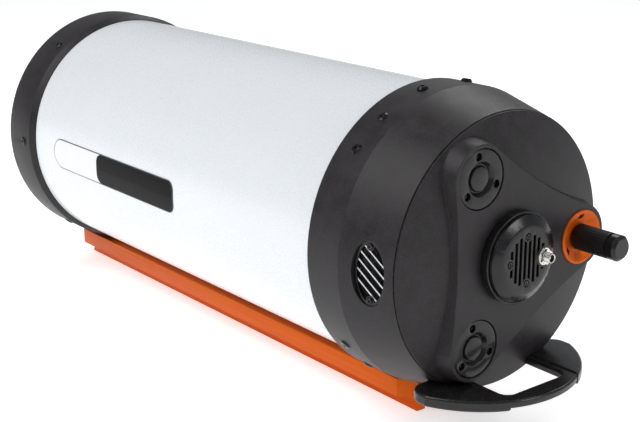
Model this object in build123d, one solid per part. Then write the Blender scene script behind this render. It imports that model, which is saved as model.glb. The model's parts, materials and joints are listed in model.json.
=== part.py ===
from build123d import *
import math
import os

# A prime-focus Schmidt astrograph: a short, very fast telescope whose camera sits at the front.
# Lengths are millimetres. The model is made about the optical axis: Y runs along it towards the
# sky, with y = 0 where the rear cell meets the tube, X points right as seen from behind and Z up.
# Every piece is moved once, on export, so that the origin is at the bottom centre of the whole.

# ---- driving sizes -------------------------------------------------------------------------
tube_radius = 117.8
tube_wall = 1.5
tube_span = 462.8            # tube that shows between the two cells
tube_socket = 15.0           # how far the tube goes into each cell
cell_rim = 4.6               # cell wall outside the tube
cell_radius = tube_radius + cell_rim
running_gap = 0.05           # radial clearance of every shaft in its bore
seat_gap = 0.2               # clearance of a disc in its recess

# rear cell
rear_straight = 36.5         # straight rim, before the taper
rear_depth = 86.0            # rim to the edge of the rear face
rear_edge_radius = 110.7
rear_dome = 12.4             # how far the rear face bulges
rear_wall = 7.2
plateau_y = -100.0           # flat three-lobed raised face
lobe_pitch_radius = 77.2     # circle through the three lobe centres
lobe_radius = 26.5
plateau_waist = 60.0         # axis to the middle of each hollow side
plateau_draft = 16.0
plateau_height = 16.0

# mirror supports
cap_radius = 23.5
cap_recess = 9.0
cap_gap = 0.5                # the dark line round each cap
cap_boss_radius = 9.0
cap_groove_radius = 13.5
cap_screw_circle = 17.5
post_radius = 6.0
post_front = -50.0

# focuser
flange_radius = 22.4
flange_rise = 1.5
flange_depth = 6.0
shaft_radius = 4.0
knob_radius = 10.6
knob_end_y = -141.4
bearing_radius = 11.0
bearing_width = 7.0
focus_pitch = 0.75           # mirror travel for one turn of the knob

# fan
fan_opening = 33.0
fan_cover_radius = 36.7
fan_face_y = -113.4
fan_face_radius = 27.0
fan_depth = 15.0
slot_count = 8
slot_width = 3.0
slot_pitch = 4.9
slot_reach = 20.0            # radius of the circle that the slots fill
cover_screw_circle = 18.7

# side vents
vent_y = -63.0
vent_length = 30.0
vent_height = 51.0
vent_depth = 6.0
vent_rim = 2.6
grille_thickness = 2.4
slat_count = 5
slat_pitch = 8.1
slat_width = 1.2
slat_depth = 1.8
slat_angle = 40.0

# mirror
mirror_radius = 104.5
mirror_edge_y = -16.0
mirror_back_y = -42.0
mirror_curve = 810.0
mirror_hole = 22.0
carrier_front = -44.0
carrier_thickness = 6.0

# front cell and corrector
front_cell_length = 52.0
corrector_radius = 107.0
corrector_thickness = 5.0
clear_aperture = 101.5
corrector_recess = 20.0      # front rim to the front of the corrector
hub_radius = 46.5
hub_back = 42.0              # lens cell reach behind the corrector
hub_nose = 8.0               # lens cell reach in front of the corrector
lens_radius = 33.0
window_radius = 24.0
adapter_radius = 30.0
adapter_bore = 19.0
thread_radius = 21.0         # camera thread, 42 mm
thread_length = 5.0
collar_radius = 40.0
collar_thread_radius = 35.5
hub_hole_radius = 36.0
hub_flange = 3.0
ring_thickness = 3.0

# rail
rail_half_width = 37.7
rail_foot_half_width = 22.0
rail_side = 16.0             # height of the plate's side
rail_foot = 15.0             # height of the dovetail foot
rail_channel_half_width = 13.0
rail_channel_depth = 13.0
rail_rear_y = -20.0
rail_front_overhang = 15.0
rail_corner = 8.5
dovetail_lean = 15.0
rail_screw_x = 7.0
rail_screw_bite = 4.0

# handle
handle_bow_radius = 89.5     # the outer edge seen from below
handle_rear_y = -146.0
handle_front_y = -72.0
handle_half_width = 82.2
handle_corner = 14.0
handle_bar = 17.0
handle_top = -96.5
handle_thickness = 6.5
handle_pad_top = -95.5
handle_pad_bottom = -105.0
handle_pad_inside = 38.0
handle_pad_margin = 0.5      # how far the pads stand out round the plate
finger_gap_half_width = 33.0
handle_screw_x = 56.0
handle_screw_y = -80.0

# ---- places worked out from them -------------------------------------------------------------
front_cell_rear = tube_span
front_face = front_cell_rear + front_cell_length
corrector_front = front_face - corrector_recess
corrector_rear = corrector_front - corrector_thickness
rail_top = -cell_radius
rail_bottom = rail_top - rail_side - rail_foot
rail_front_y = front_face + rail_front_overhang
axis_height = -rail_bottom
row_centre_y = (rail_front_y + min(knob_end_y, handle_rear_y)) / 2
to_row = Pos(0, -row_centre_y, axis_height)
lobe_angles = (0.0, 120.0, 240.0)
rim_bore = tube_radius - 4
handle_screw_tip = -math.sqrt((rear_edge_radius - 3) ** 2 - handle_screw_x ** 2)
upright = (Align.CENTER, Align.CENTER, Align.MIN)
upright_down = (Align.CENTER, Align.CENTER, Align.MAX)


# ---- small shared shapes ---------------------------------------------------------------------
def turned(points):
    """A solid of revolution about the optical axis, from (radius, y) points."""
    return revolve(make_face(Polyline(*points, close=True)), Axis.Y, 360)


def rod(radius, y0, y1, x=0.0, z=0.0):
    """A cylinder along Y."""
    start = min(y0, y1)
    bar = Cylinder(radius, abs(y1 - y0), align=upright)
    return Pos(x, start, z) * Rot(-90, 0, 0) * bar


def pipe(outer, inner, y0, y1, x=0.0, z=0.0):
    """A tube along Y."""
    return rod(outer, y0, y1, x, z) - rod(inner, y0, y1, x, z)


def on_circle(radius, degrees):
    """X and Z of a point on a circle about the optical axis."""
    return radius * math.cos(math.radians(degrees)), radius * math.sin(math.radians(degrees))


def button_screw(head_radius, head_height, shank_radius, shank_length):
    """A button-head screw with a hexagon socket, its head towards +Z, seated on z = 0."""
    dome = Polyline((0, 0), (head_radius, 0), (head_radius, 0.35 * head_height),
                    (0.72 * head_radius, head_height), (0, head_height), close=True)
    head = revolve(make_face(Plane.XZ * dome), Axis.Z, 360)
    socket = Pos(0, 0, 0.4 * head_height) * extrude(
        RegularPolygon(0.45 * head_radius, 6), head_height)
    shank = Pos(0, 0, -shank_length) * Cylinder(
        shank_radius, shank_length, align=upright)
    return (head - socket) + shank


def radial_screw(screw, degrees, y, radius):
    """Put a screw on the rim, its head outwards."""
    x, z = on_circle(radius, degrees)
    return Plane(origin=(x, y, z), z_dir=(x, 0, z)) * screw


def rear_screw(screw, x, y, z):
    """Put a screw in a rear face, its head towards the rear."""
    return Plane(origin=(x, y, z), z_dir=(0, -1, 0)) * screw


def front_screw(screw, x, y, z):
    """Put a screw in a front face, its head towards the sky."""
    return Plane(origin=(x, y, z), z_dir=(0, 1, 0)) * screw


def keep(name, shapes):
    """Write one named piece, or one group of separate pieces, in the row's frame."""
    group = shapes if isinstance(shapes, list) else [shapes]
    placed = [to_row * solid for shape in group for solid in shape.solids()]
    export_step(placed[0] if len(placed) == 1 else Compound(children=placed), f"parts/{name}.step")


# ---- tube and front cell ---------------------------------------------------------------------
def optical_tube():
    return pipe(tube_radius, tube_radius - tube_wall, -tube_socket, tube_span + tube_socket)


def rail_pad(y0, y1):
    """A flat foot under a cell that the rail is screwed to."""
    depth = 8.0
    half_width = 30.0
    block = Box(2 * half_width, y1 - y0, depth, align=(Align.CENTER, Align.MIN, Align.MIN))
    return Pos(0, y0, rail_top) * block


def front_cell_screw_places():
    return [(90 + side * offset, front_cell_rear + 20) for offset in (38, 90, 142) for side in (-1, 1)]


rim_screw_depth = 3.6
rim_screw = button_screw(4.6, 1.4, 2.5, rim_screw_depth)
rim_screw_hole = Cylinder(2.5, 2 * rim_screw_depth)


def front_cell():
    lip = corrector_rear - 3
    body = turned([
        (tube_radius, front_cell_rear), (tube_radius + 0.6, front_cell_rear),
        (cell_radius - 0.8, front_cell_rear + 5.5), (cell_radius, front_cell_rear + 6.5),
        (cell_radius, front_face - 2),
        (cell_radius - 2, front_face), (corrector_radius + 6.5, front_face),
        (corrector_radius + 5, front_face - 2), (corrector_radius + 5, corrector_front),
        (corrector_radius + 0.5, corrector_front), (corrector_radius + 0.5, corrector_rear),
        (clear_aperture + 2, corrector_rear), (clear_aperture + 2, lip - 2),
        (corrector_radius + 3, lip - 6), (corrector_radius + 3, front_cell_rear + tube_socket),
        (tube_radius, front_cell_rear + tube_socket)])
    body += rail_pad(front_cell_rear + 16, front_face - 4) - rod(cell_radius - 3, front_cell_rear, front_face)
    for degrees, y in front_cell_screw_places():
        body -= radial_screw(rim_screw_hole, degrees, y, cell_radius)
    for x, y in rail_screw_places():
        if y > 0:
            body -= Pos(x, y, rail_top) * Cylinder(2.5, 2 * rail_screw_bite)
    for x, z in ring_screw_places():
        body -= rod(1.5, corrector_front - 4, corrector_front, x, z)
    return body


def front_cell_screws():
    return [radial_screw(rim_screw, degrees, y, cell_radius) for degrees, y in front_cell_screw_places()]


# ---- corrector -------------------------------------------------------------------------------

def ring_screw_places():
    return [on_circle(corrector_radius + 2.6, 22.5 + step) for step in range(0, 360, 45)]


def corrector_plate():
    return pipe(corrector_radius, hub_hole_radius, corrector_rear, corrector_front)


def corrector_retaining_ring():
    ring = turned([
        (clear_aperture, corrector_front), (corrector_radius + 4.8, corrector_front),
        (corrector_radius + 4.8, corrector_front + ring_thickness),
        (clear_aperture + 1.5, corrector_front + ring_thickness)])
    for x, z in ring_screw_places():
        ring -= rod(1.5, corrector_front, corrector_front + ring_thickness, x, z)
    return ring


def retaining_ring_screws():
    screw = button_screw(2.0, 1.4, 1.5, ring_thickness + 4)
    return [front_screw(screw, x, corrector_front + ring_thickness, z) for x, z in ring_screw_places()]


def corrector_shims():
    """Four thin cork pads between the corrector's edge and the cell."""
    pads = pipe(corrector_radius + 0.5, corrector_radius, corrector_rear, corrector_front)
    pieces = []
    for degrees in (45, 135, 225, 315):
        x, z = on_circle(corrector_radius, degrees)
        pieces.append(pads & (Pos(x, corrector_rear, z) * Rot(0, -degrees, 0) * Box(
            6, 2 * corrector_thickness, 14, align=(Align.CENTER, Align.MIN, Align.CENTER))))
    return pieces


# ---- lens group at the front -----------------------------------------------------------------
lens_back_y = corrector_rear - hub_back
nose_y = corrector_front + hub_flange + hub_nose
lens_shapes = ((3.0, 3.6, 6.0), (8.0, -3.0, -4.0), (3.0, 5.0, 3.0), (4.0, 2.0, -1.5))
lens_rooms = (4.0, 3.0, 7.0, None)   # the last spacer reaches the front wall
lock_ring_thickness = 4.0
lens_seat = 2.0
window_seat = 12.0


def lens_cell():
    bore = lens_radius
    body = turned([
        (bore, lens_back_y), (bore + 2.6, lens_back_y),
        (bore + 2.6, corrector_rear), (hub_hole_radius, corrector_rear),
        (hub_hole_radius, corrector_front), (hub_radius, corrector_front),
        (hub_radius, corrector_front + hub_flange), (collar_thread_radius, corrector_front + hub_flange),
        (collar_thread_radius, nose_y), (adapter_radius + 0.4, nose_y),
        (adapter_radius + 0.4, nose_y - 4), (window_radius, nose_y - 4),
        (window_radius, nose_y - window_seat), (bore, nose_y - window_seat)])
    for degrees in collimation_angles:
        x, z = on_circle(collimation_circle, degrees)
        body -= rod(1.5, corrector_front, corrector_front + hub_flange, x, z)
    return body


collimation_angles = (30.0, 150.0, 270.0)
collimation_circle = 42.6


def lens_cell_retainer():
    """The ring that clamps the lens cell from behind the corrector."""
    return pipe(hub_radius - 3, lens_radius + 2.6, corrector_rear - 4, corrector_rear)


def collimation_screws():
    screw = button_screw(2.4, 1.8, 1.5, hub_flange)
    places = [on_circle(collimation_circle, degrees) for degrees in collimation_angles]
    return [front_screw(screw, x, corrector_front + hub_flange, z) for x, z in places]


def bulge_arc(y, bulge):
    """A spherical face from the ground rim at y to its middle, which stands out by the bulge."""
    clear = lens_radius - lens_seat
    curve = (clear ** 2 + bulge ** 2) / (2 * bulge)
    half = clear / 2
    half_y = y + bulge - math.copysign(abs(curve) - math.sqrt(curve ** 2 - half ** 2), bulge)
    return ThreePointArc((clear, y), (half, half_y), (0, y + bulge))


def lens(rear_y, edge, rear_bulge, front_bulge):
    """One element with a ground rim; a bulge below nothing is a hollow face."""
    front_y = rear_y + edge
    clear = lens_radius - lens_seat
    rim = Polyline((clear, rear_y), (lens_radius, rear_y), (lens_radius, front_y), (clear, front_y))
    axis_line = Line((0, front_y + front_bulge), (0, rear_y - rear_bulge))
    section = make_face(
        [bulge_arc(rear_y, -rear_bulge), *rim.edges(), bulge_arc(front_y, front_bulge), axis_line])
    return revolve(section, Axis.Y, 360)


def lens_stack():
    """The lens elements, and the spacers that stand between them."""
    y = lens_back_y + lock_ring_thickness
    elements, spacers = [], []
    for (edge, rear_bulge, front_bulge), room in zip(lens_shapes, lens_rooms):
        elements.append(lens(y, edge, rear_bulge, front_bulge))
        y += edge
        spacer_end = y + room if room else nose_y - window_seat
        spacers.append(pipe(lens_radius, lens_radius - lens_seat, y, spacer_end))
        y = spacer_end
    return elements, spacers


def lens_lock_ring():
    return pipe(lens_radius, lens_radius - lens_seat, lens_back_y, lens_back_y + lock_ring_thickness)


def optical_window():
    return rod(window_radius, nose_y - 10, nose_y - 7)


def camera_adapter():
    """The plate that carries the camera on a male thread; it turns under the collar."""
    shoulder = nose_y + 4
    return turned([
        (adapter_bore, nose_y - 3.6), (adapter_radius, nose_y - 3.6), (adapter_radius, nose_y + 2),
        (thread_radius + 4.5, nose_y + 2), (thread_radius + 4.5, shoulder), (thread_radius, shoulder),
        (thread_radius, shoulder + thread_length), (adapter_bore, shoulder + thread_length)])


def adapter_collar():
    """The knurled ring that holds the adapter down on the lens cell."""
    rear = corrector_front + hub_flange + 0.6
    front = nose_y + 5
    ring = turned([
        (collar_thread_radius, rear), (collar_radius - 0.6, rear), (collar_radius, rear + 1),
        (collar_radius, front - 1.5), (collar_radius - 1.5, front), (thread_radius + 7, front),
        (thread_radius + 7, nose_y + 2.6), (collar_thread_radius, nose_y + 2.6)])
    for step in range(0, 360, 20):
        x, z = on_circle(collar_radius + 1.4, step)
        ring -= rod(2.4, rear - 1, front + 1, x, z)
    return ring


# ---- rear cell -------------------------------------------------------------------------------
def lobe_places():
    return [on_circle(lobe_pitch_radius, degrees) for degrees in lobe_angles]


def cap_places():
    return lobe_places()[1:]


def focuser_place():
    return lobe_places()[0]


def plateau_face():
    """The three-lobed outline: round ends joined by hollow sides."""
    outline = []
    for degrees in lobe_angles:
        start, end = degrees - 60, degrees + 60
        centre = Vector(*on_circle(lobe_pitch_radius, degrees))
        following = Vector(*on_circle(lobe_pitch_radius, degrees + 120))
        first = centre + Vector(*on_circle(lobe_radius, start))
        tip = centre + Vector(*on_circle(lobe_radius, degrees))
        last = centre + Vector(*on_circle(lobe_radius, end))
        waist = Vector(*on_circle(plateau_waist, end))
        outline.append(ThreePointArc(first, tip, last))
        outline.append(ThreePointArc(last, waist, following + Vector(*on_circle(lobe_radius, end))))
    return make_face(outline)


def plateau():
    """The raised face; its outline is symmetric top to bottom, so either way up will do."""
    rear_plane = Plane(origin=(0, plateau_y, 0), x_dir=(1, 0, 0), z_dir=(0, 1, 0))
    return extrude(rear_plane * plateau_face(), amount=plateau_height, taper=-plateau_draft)


def vent_frame(side):
    """A plane at a side vent, its Z outwards and its X forwards along the tapered wall."""
    slope = math.atan2(cell_radius - rear_edge_radius, rear_depth - rear_straight)
    radius = cell_radius - (-vent_y - rear_straight) * math.tan(slope)
    outward = (side * math.cos(slope), -math.sin(slope), 0)
    forward = (side * math.sin(slope), math.cos(slope), 0)
    return Plane(origin=(side * radius, vent_y, 0), x_dir=forward, z_dir=outward)


def rear_cell_envelope():
    """The outside of the rear cell without its raised face."""
    corner = rear_edge_radius - 1
    sides = Polyline((0, 0), (cell_radius, 0), (cell_radius, -rear_straight),
                     (rear_edge_radius, -rear_depth + 1), (corner, -rear_depth))
    apex = (0, -rear_depth - rear_dome)
    dome = ThreePointArc((corner, -rear_depth), (0.7 * corner, -rear_depth - 0.52 * rear_dome), apex)
    return revolve(make_face([*sides.edges(), dome, Line(apex, (0, 0))]), Axis.Y, 360)


def rear_cell():
    body = rear_cell_envelope() + plateau()
    body += rail_pad(-rear_straight, -4) - rod(cell_radius - 3, -rear_straight, 0)
    floor_y = -rear_depth - rear_dome + rear_wall
    body -= turned([
        (0, 0), (tube_radius, 0), (tube_radius, -tube_socket), (rim_bore, -tube_socket),
        (rim_bore, -rear_straight), (rear_edge_radius - rear_wall, -rear_depth + 6),
        (lobe_pitch_radius, floor_y + 6.5), (fan_opening + 4, floor_y), (0, floor_y)])
    body -= rod(fan_opening, plateau_y, 0)
    for x, z in cap_places():
        body -= rod(cap_radius, plateau_y - 1, plateau_y + cap_recess, x, z)
        body -= rod(post_radius, plateau_y, 0, x, z)
    x, z = focuser_place()
    body -= rod(flange_radius + seat_gap, plateau_y - 1, housing_y, x, z)
    body -= rod(housing_radius, plateau_y, 0, x, z)
    for slot in flange_slots():
        body -= slot
    body -= pipe(cell_radius, rear_edge_radius - 1.2, 0.5 - rear_depth, 1.4 - rear_depth)
    for side in (-1, 1):
        opening = Ellipse(vent_length / 2 - 2, vent_height / 2 - 2)
        recess = Ellipse(vent_length / 2, vent_height / 2)
        body -= vent_frame(side) * Pos(0, 0, -20) * extrude(opening, 40)
        body -= vent_frame(side) * Pos(0, 0, -vent_depth) * extrude(recess, 20)
    for degrees, y in rear_cell_screw_places() + finder_screw_places():
        body -= radial_screw(rim_screw_hole, degrees, y, cell_radius)
    for x, y in rail_screw_places():
        if y < 0:
            body -= Pos(x, y, rail_top) * Cylinder(2.5, 2 * rail_screw_bite)
    for side in (-1, 1):
        body -= Pos(side * handle_screw_x, handle_screw_y, handle_screw_tip) * Cylinder(
            2.5, 30, align=upright_down)
    return body


def rear_cell_screw_places():
    upper = [(90 + side * offset, -19.5) for offset in (32.2, 47.6) for side in (-1, 1)]
    lower = [(270 + side * offset, -15.5) for offset in (36.2, 52.1) for side in (-1, 1)]
    return upper + lower


def finder_screw_places():
    """Two on top, for a finder's bracket."""
    return [(90 + side * 11.2, -19.5) for side in (-1, 1)]


def rear_cell_screws():
    return [radial_screw(rim_screw, degrees, y, cell_radius) for degrees, y in rear_cell_screw_places()]


def finder_screws():
    screw = button_screw(4.6, 2.6, 2.5, rim_screw_depth)
    return [radial_screw(screw, degrees, y, cell_radius) for degrees, y in finder_screw_places()]


# ---- mirror supports -------------------------------------------------------------------------
def cap_screw_places(cap):
    x, z = cap_places()[cap]
    offsets = [on_circle(cap_screw_circle, degrees) for degrees in (100, 340, 220)]
    return [(x + dx, z + dz) for dx, dz in offsets]


def mirror_support_cap(cap):
    """A turned disc in its recess: an annular groove round a boss, and three sunk screw pockets."""
    x, z = cap_places()[cap]
    rim = cap_radius - cap_gap
    back = plateau_y + cap_recess
    face = plateau_y + 0.6
    disc = turned([
        (0, back), (rim, back), (rim, face + 0.5), (rim - 0.5, face), (cap_groove_radius, face),
        (cap_groove_radius - 2.5, face + 3.5), (cap_boss_radius + 1, face + 3.5),
        (cap_boss_radius, face + 1.2), (0, face + 1.2)])
    disc = Pos(x, 0, z) * disc
    for sx, sz in cap_screw_places(cap):
        disc -= rod(3.1, face - 1, face + 4.2, sx, sz)
        disc -= rod(1.5, face, back, sx, sz)
    return disc


def cap_screws():
    screw = button_screw(2.7, 1.8, 1.5, cap_recess - 4.8)
    places = [place for cap in (0, 1) for place in cap_screw_places(cap)]
    return [rear_screw(screw, x, plateau_y + 0.6 + 4.2, z) for x, z in places]


def guide_post(cap):
    x, z = cap_places()[cap]
    return rod(post_radius, plateau_y + cap_recess, post_front, x, z)


# ---- focuser ---------------------------------------------------------------------------------
housing_radius = 14.0
housing_y = plateau_y + flange_depth
slot_sink = 4.0


def flange_slots():
    """Three slots that go through the flange and a little way into the rear cell."""
    x, z = focuser_place()
    slots = []
    for degrees in (92, 212, 332):
        dx, dz = on_circle(flange_radius - 5.6, degrees)
        place = Pos(x + dx, housing_y + slot_sink, z + dz) * Rot(0, -degrees, 0)
        slots.append(place * Box(4.5, 20, 6.0, align=(Align.CENTER, Align.MAX, Align.CENTER)))
    return slots


def focuser_flange():
    """The coloured ring round the knob: a raised rim, a dished face and three slots."""
    x, z = focuser_place()
    top = plateau_y - flange_rise
    dish_y = plateau_y + 2.6
    ring = turned([
        (shaft_radius + 3, housing_y), (flange_radius, housing_y), (flange_radius, top + 0.6),
        (flange_radius - 0.6, top), (flange_radius - 2.4, top), (knob_radius + 2.2, dish_y),
        (shaft_radius + 3, dish_y)])
    ring = Pos(x, 0, z) * ring
    for slot in flange_slots():
        ring -= slot
    return ring


def bearing_housing():
    x, z = focuser_place()
    shoulder = housing_y + bearing_width
    return pipe(housing_radius, bearing_radius, housing_y, shoulder, x, z) + pipe(
        housing_radius, bearing_radius - 3, shoulder, shoulder + 3, x, z)


def focus_bearing():
    """A deep-groove ball bearing, with its shields closed."""
    x, z = focuser_place()
    race = turned([
        (shaft_radius + running_gap, 0), (shaft_radius + 2, 0), (shaft_radius + 2.2, 0.5),
        (bearing_radius - 2.2, 0.5), (bearing_radius - 2, 0), (bearing_radius, 0),
        (bearing_radius, bearing_width), (shaft_radius + running_gap, bearing_width)])
    return Pos(x, housing_y, z) * race


knob_root_y = plateau_y + 1.0
shaft_front_y = carrier_front - carrier_thickness - 0.5
sleeve_end_y = knob_end_y + 10.5
core_radius = 7.6
shaft_grip = 18.0


def focus_shaft():
    x, z = focuser_place()
    return rod(shaft_radius, knob_root_y - shaft_grip, shaft_front_y, x, z)


def knob_core():
    x, z = focuser_place()
    body = rod(core_radius, knob_end_y + 8.5, knob_root_y, x, z)
    body += rod(knob_radius - 1.2, sleeve_end_y - 1.5, sleeve_end_y, x, z)
    body -= rod(shaft_radius, knob_root_y - shaft_grip, knob_root_y, x, z)
    return body - rod(1.5, knob_end_y, knob_end_y + 14, x, z)


def knob_grip():
    """The ribbed rubber sleeve."""
    x, z = focuser_place()
    sleeve = pipe(knob_radius, core_radius, sleeve_end_y, knob_root_y, x, z)
    for step in range(0, 360, 12):
        dx, dz = on_circle(knob_radius + 0.35, step)
        sleeve -= rod(0.65, sleeve_end_y + 1.5, knob_root_y - 1.5, x + dx, z + dz)
    return sleeve


def knob_end_cap():
    x, z = focuser_place()
    cap = turned([
        (0, knob_end_y), (knob_radius - 2.4, knob_end_y), (knob_radius, knob_end_y + 2.4),
        (knob_radius, knob_end_y + 8.5), (0, knob_end_y + 8.5)])
    return Pos(x, 0, z) * cap + rod(1.5, knob_end_y + 8.5, knob_end_y + 14, x, z)


# ---- mirror carriage -------------------------------------------------------------------------
carrier_back = carrier_front - carrier_thickness
bush_radius = 10.0
bush_rear = carrier_back - 18.0
boss_rear = carrier_back - 16.0
sleeve_radius = mirror_hole - seat_gap


def mirror_surface_y(radius):
    """Where the hollow face is, at a distance from the axis."""
    rim_sag = mirror_curve - math.sqrt(mirror_curve ** 2 - mirror_radius ** 2)
    sag = mirror_curve - math.sqrt(mirror_curve ** 2 - radius ** 2)
    return mirror_edge_y - rim_sag + sag


def primary_mirror():
    blank = pipe(mirror_radius, mirror_hole, mirror_back_y, mirror_edge_y)
    return blank - Pos(0, mirror_surface_y(0) + mirror_curve, 0) * Sphere(mirror_curve)


def mirror_carrier():
    """The back plate: three arms, three bosses, and a sleeve through the mirror."""
    body = pipe(96, 52, carrier_back, carrier_front) + pipe(40, 15, carrier_back, carrier_front)
    for degrees in (60, 180, 300):
        body += Pos(0, carrier_back, 0) * Rot(0, -degrees, 0) * Pos(46, 0, 0) * Box(
            22, carrier_thickness, 26, align=(Align.CENTER, Align.MIN, Align.CENTER))
    body += pipe(sleeve_radius, 15, carrier_front, mirror_surface_y(0) + 7)
    for x, z in lobe_places():
        body += rod(14, boss_rear, carrier_back, x, z)
    for x, z in lobe_places():
        body -= rod(bush_radius, boss_rear - 1, carrier_front + 1, x, z)
    return body


def mirror_pads():
    """Three soft pads behind the mirror."""
    places = [on_circle(88, degrees) for degrees in (60, 180, 300)]
    return [rod(6, carrier_front, mirror_back_y, x, z) for x, z in places]


def mirror_lock_ring():
    outer = mirror_hole + 8
    start = mirror_surface_y(outer)
    return pipe(outer, sleeve_radius, start, start + 4)


def linear_bearings():
    return [pipe(bush_radius, post_radius + running_gap, bush_rear, carrier_front - 1, x, z)
            for x, z in cap_places()]


def focus_nut():
    x, z = focuser_place()
    return pipe(bush_radius, shaft_radius + running_gap, bush_rear, carrier_front - 1, x, z)


# ---- fan -------------------------------------------------------------------------------------
fan_rear = plateau_y + 1.0
fan_front = fan_rear + fan_depth
fan_bore = 28.5
stator_radius = 9.0
rotor_radius = 12.0
blade_radius = 27.5
filter_radius = 34.2
filter_thickness = 0.8
jack_radius = 4.0


def fan_frame():
    ring = pipe(fan_opening, fan_bore, fan_rear, fan_front)
    plate = rod(rotor_radius, fan_front - 2, fan_front)
    for degrees in (90, 210, 330):
        strut = Pos(0, fan_front - 2, 0) * Rot(0, -degrees, 0) * Pos(rotor_radius - 1, 0, 0) * Box(
            fan_bore - rotor_radius + 2, 2, 4, align=(Align.MIN, Align.MIN, Align.CENTER))
        plate += strut
    stator = rod(stator_radius, fan_rear + 4, fan_front - 2) - rod(1.5 + running_gap, fan_rear, fan_front - 3)
    return ring + plate + stator


def fan_rotor():
    cup = pipe(rotor_radius, stator_radius + 0.6, fan_rear + 3, fan_front - 2.6)
    cup += rod(rotor_radius, fan_rear + 1.5, fan_rear + 3)
    cup += rod(1.5, fan_rear + 3, fan_front - 4)
    for step in range(7):
        blade = Box(blade_radius - rotor_radius + 1, 1.4, 12.5,
                    align=(Align.MIN, Align.CENTER, Align.CENTER))
        place = Pos(0, (fan_rear + 1.5 + fan_front - 2.6) / 2, 0) * Rot(0, 360 * step / 7, 0)
        cup += place * Pos(rotor_radius - 1, 0, 0) * Rot(38, 0, 0) * blade
    return cup


def cover_screw_places():
    return [on_circle(cover_screw_circle, degrees) for degrees in (90, 180, 270)]


def jack_place():
    return on_circle(cover_screw_circle + 0.4, -2)


def fan_cover():
    """A drum with a ring, a groove, a bevel and a slotted face."""
    wall = 2.2
    face = fan_face_y
    step = plateau_y - 7.3
    seat = plateau_y - filter_thickness
    drum = turned([
        (filter_radius, plateau_y), (fan_cover_radius, plateau_y),
        (fan_cover_radius, step + 0.6), (fan_cover_radius - 0.6, step), (fan_cover_radius - 1.6, step),
        (fan_cover_radius - 1.6, step + 1.2), (fan_cover_radius - 2.4, step + 1.2),
        (fan_cover_radius - 2.4, step - 2.4), (fan_face_radius + 0.6, face + 0.3), (fan_face_radius, face),
        (0, face), (0, face + wall), (fan_face_radius - 1, face + wall),
        (fan_cover_radius - 4.8, step + 0.4), (fan_cover_radius - 4.8, seat), (filter_radius, seat)])
    keepers = [rod(4.4, face - 1, face + 3, x, z) for x, z in cover_screw_places()]
    keepers.append(rod(8.4, face - 1, face + 3, *jack_place()))
    for index in range(slot_count):
        x = (index - (slot_count - 1) / 2) * slot_pitch
        half = math.sqrt(slot_reach ** 2 - x ** 2)
        slot = Pos(x, face - 1, 0) * Box(
            slot_width, 7.5, 2 * half, align=(Align.CENTER, Align.MIN, Align.CENTER))
        for boss in keepers:
            slot -= boss
        drum -= slot
    for x, z in cover_screw_places():
        drum -= rod(1.5, face - 1, face + wall + 1, x, z)
        drum -= rod(2.9, face - 1, face + 1.0, x, z)
    return drum - rod(jack_radius, face - 1, face + wall + 1, *jack_place())


def fan_cover_screws():
    screw = button_screw(2.7, 1.3, 1.5, 1.2)
    return [rear_screw(screw, x, fan_face_y + 1.0, z) for x, z in cover_screw_places()]


def fan_filter_mesh():
    return rod(filter_radius, plateau_y - filter_thickness, plateau_y)


def dc_jack():
    """A threaded barrel socket with its centre pin."""
    x, z = jack_place()
    tip = fan_face_y - 8.0
    barrel = pipe(jack_radius, jack_radius - 1.2, tip, fan_face_y + 8.0, x, z)
    back = rod(5.4, fan_face_y + 2.2, fan_face_y + 10.0, x, z)
    pin = rod(0.9, tip + 1.5, fan_face_y + 4.0, x, z)
    return barrel + back + pin


def dc_jack_nut():
    """The hexagon nut on its washer."""
    x, z = jack_place()
    plane = Plane(origin=(x, fan_face_y, z), z_dir=(0, -1, 0))
    washer = plane * Cylinder(6.8, 0.8, align=upright)
    nut = plane * Pos(0, 0, 0.8) * extrude(RegularPolygon(6.2, 6), 2.6)
    hole = rod(jack_radius, fan_face_y - 6, fan_face_y + 1, x, z)
    return [washer - hole, nut - hole]


# ---- side vents ------------------------------------------------------------------------------

def vent_bosses():
    """Where the two screws go through the bezel."""
    boss = Cylinder(3.6, 4 * grille_thickness)
    return Pos(0, vent_screw_offset, 0) * boss + Pos(0, -vent_screw_offset, 0) * boss


def vent_window():
    """The hole in the bezel."""
    hole = extrude(Ellipse(vent_length / 2 - vent_rim, vent_height / 2 - vent_rim), grille_thickness)
    return hole - vent_bosses()


def vent_bezel(side):
    """An oval frame with two screw bosses."""
    plate = extrude(Ellipse(vent_length / 2 - seat_gap, vent_height / 2 - seat_gap), grille_thickness)
    body = plate - vent_window()
    for end in (-1, 1):
        body -= Pos(0, end * vent_screw_offset, 0) * Cylinder(1.25, 4 * grille_thickness)
    return vent_frame(side) * Pos(0, 0, -vent_depth) * body


def vent_slats(side):
    """Slanted bars that stand in the bezel's window."""
    window = vent_window()
    slats = []
    for index in range(slat_count):
        middle = Pos(0, (index - (slat_count - 1) / 2) * slat_pitch, 0)
        bar = Box(2 * vent_length, slat_width, slat_depth, align=upright)
        slats.append(window & (middle * Rot(0, 0, side * slat_angle) * bar))
    return [vent_frame(side) * Pos(0, 0, -vent_depth) * slat for slat in slats]


vent_screw_offset = vent_height / 2 - 4.4


def vent_mesh(side):
    sheet = extrude(Ellipse(vent_length / 2 - 2.2, vent_height / 2 - 2.2), 0.5)
    return vent_frame(side) * Pos(0, 0, -vent_depth - 0.5) * sheet


def vent_screws():
    screw = button_screw(2.6, 1.5, 1.25, grille_thickness)
    top = grille_thickness - vent_depth
    return [vent_frame(side) * Pos(0, end * vent_screw_offset, top) * screw
            for side in (-1, 1) for end in (-1, 1)]


# ---- rail ------------------------------------------------------------------------------------

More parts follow.
